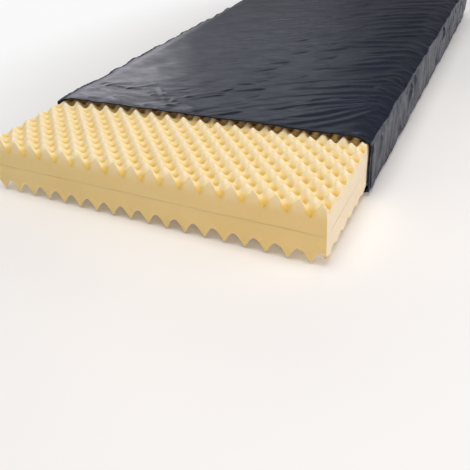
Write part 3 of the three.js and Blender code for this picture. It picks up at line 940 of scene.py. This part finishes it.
def seam(name, path, tilt, seed, flat=1.0):
    """A sewn seam: the gathered ridge where two panels meet. path is its line, tilt the direction in which
    it stands out, flat the share of its height that is left where something passes over it."""
    run = np.concatenate([[0], np.cumsum(np.linalg.norm(np.diff(path, axis=0), axis=1))])
    gather = pucker(run + path[0].sum(), seed)
    along = unit(np.gradient(path, run, axis=0))
    out = unit(np.array(tilt))
    side = np.cross(along, out)
    ends = np.minimum(smooth(-0.0005, 0.003, run), smooth(-0.0005, 0.003, run[-1] - run))
    high = (0.0036 + 0.0018 * gather) * ends * flat
    wide = (0.0017 + 0.0006 * (1 - gather)) * ends
    centre = path + out * (seam_sway(run, seed + 2) - 0.0003)[:, None]
    rings = []
    for angle in circle_angles(SEAM_SIDES):
        pinch = 1 - 0.28 * max(0, math.cos(angle)) ** 2
        rings.append(centre + out * (high * math.cos(angle))[:, None]
                     + side * (wide * pinch * math.sin(angle))[:, None])
    made = sweep(f"{name}_gather", np.stack(rings, 1), np.repeat(0.35 + 0.65 * gather, SEAM_SIDES))
    # the ridge takes the paler seam nylon: painted highlight
    return finish_piece(made, SEAM_RIDGE_HIGHLIGHT, "cover", "stitched_nylon", name)


def run_of(low, high, spacing=0.0032):
    """Evenly spaced places from low to high."""
    return np.linspace(low, high, int((high - low) / spacing) + 2)


def side_seams(label, side, edge_y, place, seeds):
    """The top, bottom and upright seams of the right (side 1) or left (-1) side."""
    run = run_of(edge_y, WALL_HEAD_Y)
    seam(f"top_seam_{label}", place(run, TOP_SEAM_Z, 0.0), (0.6 * side, 0, 1), seeds[0])
    seam(f"bottom_seam_{label}", place(run, BOTTOM_SEAM_Z, 0.0), (side, 0, -0.5), seeds[1])
    rise = run_of(BOTTOM_SEAM_Z, TOP_SEAM_Z)
    beside_zip = smooth(ZIP_LOW - 0.012, ZIP_LOW, rise) * (1 - smooth(ZIP_HIGH, ZIP_HIGH + 0.012, rise))
    seam(f"corner_seam_{label}", place(WALL_HEAD_Y, rise, 0.0), (side, 1, 0), seeds[2],
         1 - 0.6 * beside_zip * (side < 0))


side_seams("right", 1, EDGE_RIGHT_Y, right_place, (131, 151, 171))
side_seams("left", -1, EDGE_LEFT_Y, left_place, (141, 161, 181))
head_run = run_of(-WALL_X, WALL_X)
seam("top_seam_head", head_place(head_run, TOP_SEAM_Z, 0.0), (0, 0.6, 1), 191)
seam("bottom_seam_head", head_place(head_run, BOTTOM_SEAM_Z, 0.0), (0, 1, -0.5), 201)


HEM_THICK = 0.0026
ROLL_FIRST, ROLL_POINTS = 3, 8  # place and number of the section's points round the rolled edge


def hem_section():
    """A turned hem across its width: (distance back from the edge, share of its thickness)."""
    rolled = [(0.0013 * (1 - math.cos(a)), 0.5 + 0.5 * math.sin(a))
              for a in np.linspace(-math.pi / 2, math.pi / 2, ROLL_POINTS)]
    back = HEM + 0.0004
    under = [(back, 0.0), (0.010, 0.0), (0.005, 0.0)]
    over = [(0.004, 0.92), (0.008, 0.82), (0.0116, 0.70), (0.0130, 0.80), (back, 0.74)]
    return under + rolled + over


def hem(name, place, limits, seed):
    """The doubled, stitched border of the opening. place turns (run, distance back, height) into points."""
    s = run_of(*limits, 0.003)
    roll = 1 + 0.22 * noise(s / 0.035, 0.1, seed) + 0.10 * noise(s / 0.009, 0.6, seed + 1)
    rings = []
    for back, share in hem_section():
        pulled = 0.00035 * noise(s / 0.008, back / 0.004, seed + 2)
        rings.append(place(s, np.full(s.shape, back), share * HEM_THICK * roll + pulled))
    made = sweep(f"{name}_hem", np.stack(rings, 1), np.repeat(np.clip(0.45 * roll, 0, 1), len(rings)))
    finish_piece(made, STITCHED, "cover", "stitched_nylon", f"open_hem_{name}")
    # the faces round the rolled edge take the near-black nylon: painted shadow along the open edge
    made.data.materials.append(ROLLED_EDGE_SHADOW)
    across = np.arange(len(made.data.polygons)) % len(rings)
    on_roll = (across >= ROLL_FIRST - 1) & (across < ROLL_FIRST + ROLL_POINTS)
    on_roll[-2:] = False
    made.data.polygons.foreach_set("material_index", on_roll.astype(np.int32))
    return made


def top_hem_place(s, back, height):
    return top_skin(s, open_edge(s) + back, height - CLOTH)


def bottom_hem_place(s, back, height):
    return bottom_skin(s, open_edge(s) + back, -0.5 * height)


def right_hem_place(s, back, height):
    out = 0.25 * wall_lift(np.full(s.shape, RIGHT_RUN[0]), s, RIGHT_SEED, RIGHT_RUN, RIGHT_CREASES)
    return right_place(EDGE_RIGHT_Y + back, s, height - CLOTH + out + 0.0002)


def left_hem_place(s, back, height):
    return left_place(EDGE_LEFT_Y + back, s, height - CLOTH + 0.0002)


ACROSS = (-WALL_X + 0.001, WALL_X - 0.001)
top_hem = hem("top", top_hem_place, ACROSS, 301)
bottom_hem = hem("bottom", bottom_hem_place, ACROSS, 311)
right_hem = hem("right", right_hem_place, RISE, 321)
left_hem = hem("left", left_hem_place, RISE, 331)

STITCH_PITCH = 0.0036
STITCH_LINE = 0.0116  # from the open edge
STITCH_SIDES = 6
# a stitch's sections: (place along it as a share of the pitch, thickness as a share of the middle's)
STITCH_SECTIONS = ((-0.40, 0.25), (-0.22, 0.9), (0.0, 1.0), (0.22, 0.9), (0.40, 0.25))


def stitches(name, runs):
    """Short raised threads in a row. runs holds (place, (low, high), distance left free at each end)."""
    offset, size = np.array(STITCH_SECTIONS).T
    angle = circle_angles(STITCH_SIDES)
    back = STITCH_LINE + 0.00042 * size[:, None] * np.cos(angle)
    height = 0.76 * HEM_THICK + 0.00034 * size[:, None] * np.sin(angle)
    threads = []
    for place, (low, high), free in runs:
        middles = np.arange(low + free + STITCH_PITCH, high - free - STITCH_PITCH, STITCH_PITCH)
        along = middles[:, None, None] + offset[:, None] * STITCH_PITCH
        threads.append(place(*(grid.ravel() for grid in np.broadcast_arrays(along, back, height))))
    points = np.concatenate(threads)
    faces = []
    for first in range(0, len(points), back.size):
        rings = first + np.arange(back.size).reshape(back.shape)
        for ring, following in zip(rings, rings[1:]):
            faces += np.stack([ring, np.roll(ring, -1), np.roll(following, -1), following], 1).tolist()
        faces += [rings[0, ::-1].tolist(), rings[-1].tolist()]
    return make_object(name, points, faces)


STITCHED_RUNS = ((top_hem_place, ACROSS, 0.003), (right_hem_place, RISE, 0.002),
                 (left_hem_place, RISE, 0.002))
hem_thread = finish_piece(stitches("hem_stitching", STITCHED_RUNS), THREAD, "cover", "stitched_nylon")


# Zip on the left side
ZIP_MIDDLE = (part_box("zip_coil_upper")[0].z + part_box("zip_coil_lower")[1].z) / 2
TONGUE_BACK, TONGUE_HALF = 0.00135, 0.0001  # the tape's thin edge: how far behind, half its thickness


def zip_tape(label, facing):
    """A woven tape, sewn flat along one edge. The other edge runs on, thin, behind the coil."""
    low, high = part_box(f"zip_tape_{label}")
    near, far = (low.z, high.z) if facing > 0 else (high.z, low.z)
    columns = np.array([ZIP_MIDDLE + facing * 0.00005, near - facing * 0.0015, near - facing * 0.0002,
                        near + facing * 0.0006, (near + far) / 2, far])
    behind = np.array([1, 1, 1, 0, 0, 0])
    s, z = np.meshgrid(np.linspace(low.y, high.y, 401), columns, indexing="ij")
    ease = 0.0003 * noise(s / 0.05, z / 0.01, 411) * (1 - behind) - TONGUE_BACK * behind
    half = TONGUE_HALF + 0.0003 * (1 - behind)
    made = shell(f"{label}_zip_tape", left_place(s, z, ease + half), left_place(s, z, ease - half))
    finish_piece(made, TAPE, "cover", "zip_tape", f"zip_tape_{label}")


TOOTH_PITCH, WIRE_RADIUS = 0.0021, 0.00042
COIL_AROUND, WIRE_SIDES = 8, 5  # points round a turn of the coil, and round its wire


def squarer(value):
    """A sine or cosine, pushed out towards a square's corners."""
    return np.sign(value) * abs(value) ** 0.75


def zip_coil(label, facing):
    """The zip's row of moulded turns, each a small loop. The two rows are half a turn out of step, and
    almost touch."""
    low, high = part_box(f"zip_coil_{label}")
    y_low = low.y + WIRE_RADIUS + TOOTH_PITCH * (0.5 if facing < 0 else 0)
    turns = int((high.y - WIRE_RADIUS - y_low) / TOOTH_PITCH)
    inner_z, outer_z = ZIP_MIDDLE + facing * 0.00012, high.z if facing > 0 else low.z
    centre_x, centre_z = (low.x + high.x) / 2, (inner_z + outer_z) / 2
    reach_x, reach_z = (high.x - low.x) / 2 - WIRE_RADIUS, abs(outer_z - inner_z) / 2 - WIRE_RADIUS
    turn = np.arange(turns * COIL_AROUND + 1) / COIL_AROUND
    out = placed(reach_x * squarer(np.cos(2 * math.pi * turn)), 0,
                 facing * reach_z * squarer(np.sin(2 * math.pi * turn)))
    path = out + placed(centre_x, y_low + TOOTH_PITCH * turn, centre_z)
    along = unit(np.gradient(path, axis=0))
    out = unit(out - along * np.sum(out * along, axis=1, keepdims=True))
    side = np.cross(along, out)
    rings = [path + WIRE_RADIUS * (out * math.cos(angle) + side * math.sin(angle))
             for angle in circle_angles(WIRE_SIDES)]
    made = sweep(f"{label}_zip_coil", np.stack(rings, 1))
    finish_piece(made, COIL, "cover", "zip_coil", f"zip_coil_{label}")


for make in (zip_tape, zip_coil):
    make("upper", 1)
    make("lower", -1)

ROUNDING = {"zip_slider": 0.0003, "zip_pull_tab": 0.0002, "zip_stop_foot": 0.0003, "zip_stop_head": 0.0003}
for name, width in ROUNDING.items():
    part = frame["nodes"][name]
    part.data.materials.clear()
    part.data.materials.append(ZINC)
    rounded = part.modifiers.new("rounded", "BEVEL")
    rounded.width = width
    rounded.segments = 2
    rounded.limit_method = "ANGLE"

# Floor, light and camera
FLOOR_HALF = 12
FLOOR_Z = -0.0004  # just under the mattress


def floor():
    corners = ((-1, -1), (1, -1), (1, 1), (-1, 1))
    made = make_object("floor", [(FLOOR_HALF * i, FLOOR_HALF * j, 0) for i, j in corners], [[0, 1, 2, 3]])
    made.location.z = FLOOR_Z
    made.data.materials.append(floor_material())


# each light: (where it stands, what it faces, size, watts, colour)
LIGHTS = {
    "key_window": ((3.3, -0.1, 1.7), (0.1, -0.7, 0.1), (1.6, 1.3), 29, (1.0, 0.985, 0.98)),
    "overhead": ((0.2, -1.2, 3.5), (0.0, -0.8, 0.1), (2.4, 2.0), 78, (1.0, 1.0, 0.98)),
    "left_softbox": ((-2.8, 1.9, 1.25), (-0.3, -0.5, 0.15), (1.6, 1.15), 20, (1.0, 0.95, 1.0)),
    "rear_softbox": ((-1.5, 2.9, 1.9), (0.1, -0.4, 0.15), (1.5, 0.9), 6.5, (0.92, 0.95, 1.0)),
    "foot_fill": ((1.8, -2.6, 0.8), (0.3, -1.0, 0.1), (1.2, 0.9), 10, (1.0, 0.48, 0.24)),
}
WORLD_GLOW = 0.18  # strength of the even light from all round


def area_light(name, place, target, size, power, colour):
    data = bpy.data.lights.new(name, "AREA")
    data.shape = "RECTANGLE"
    data.size, data.size_y = size
    data.energy = power
    data.color = colour
    made = linked(bpy.data.objects.new(name, data))
    made.location = place
    made.rotation_euler = (Vector(target) - Vector(place)).to_track_quat("-Z", "Y").to_euler()


def world(shown, lit):
    """A plain backdrop colour that the camera sees, and a dimmer one that gives the light."""
    made = bpy.data.worlds.new("studio")
    made.use_nodes = True
    tree = made.node_tree
    background = tree.nodes["Background"]
    background.inputs["Color"].default_value = lit
    background.inputs["Strength"].default_value = WORLD_GLOW
    seen = node(tree, "Background", {"Color": shown, "Strength": 1.0})
    ray = node(tree, "LightPath").outputs["Is Camera Ray"]
    mix = node(tree, "MixShader", {0: ray, 1: background.outputs[0], 2: seen.outputs[0]})
    feed(tree, tree.nodes["World Output"].inputs["Surface"], mix.outputs[0])
    bpy.context.scene.world = made


floor()
world(BACKDROP, rgb(255, 247, 238))
for name, settings in LIGHTS.items():
    area_light(name, *settings)

CAMERA_FROM_CORNER = Vector((0.2815, -0.8953, 0.6084))  # from the foam's right foot corner, at its top
CAMERA_AZIMUTH, CAMERA_ELEVATION, CAMERA_ROLL = (math.radians(a) for a in (27.18, 31.20, -3.45))
CAMERA_SHIFT = (-0.0213, -0.0957)
FOCAL_SHARE = 1.2127  # focal length over the picture's width
SENSOR = 36.0


def camera():
    """A camera at the foot end, to the right, looking down along the mattress."""
    data = bpy.data.cameras.new("camera")
    data.sensor_width = SENSOR
    data.lens = FOCAL_SHARE * SENSOR
    data.shift_x, data.shift_y = CAMERA_SHIFT
    data.clip_start, data.clip_end = 0.01, 60
    made = linked(bpy.data.objects.new("camera", data))
    made.location = Vector((HALF_WIDTH, FOOT_Y, PEAK_Z)) + CAMERA_FROM_CORNER
    back = Vector((math.sin(CAMERA_AZIMUTH) * math.cos(CAMERA_ELEVATION),
                   -math.cos(CAMERA_AZIMUTH) * math.cos(CAMERA_ELEVATION), math.sin(CAMERA_ELEVATION)))
    made.rotation_mode = "QUATERNION"
    made.rotation_quaternion = (-back).to_track_quat("-Z", "Y") @ Quaternion((0, 0, 1), CAMERA_ROLL)
    bpy.context.scene.camera = made


camera()
bpy.context.scene.view_settings.view_transform = "Standard"
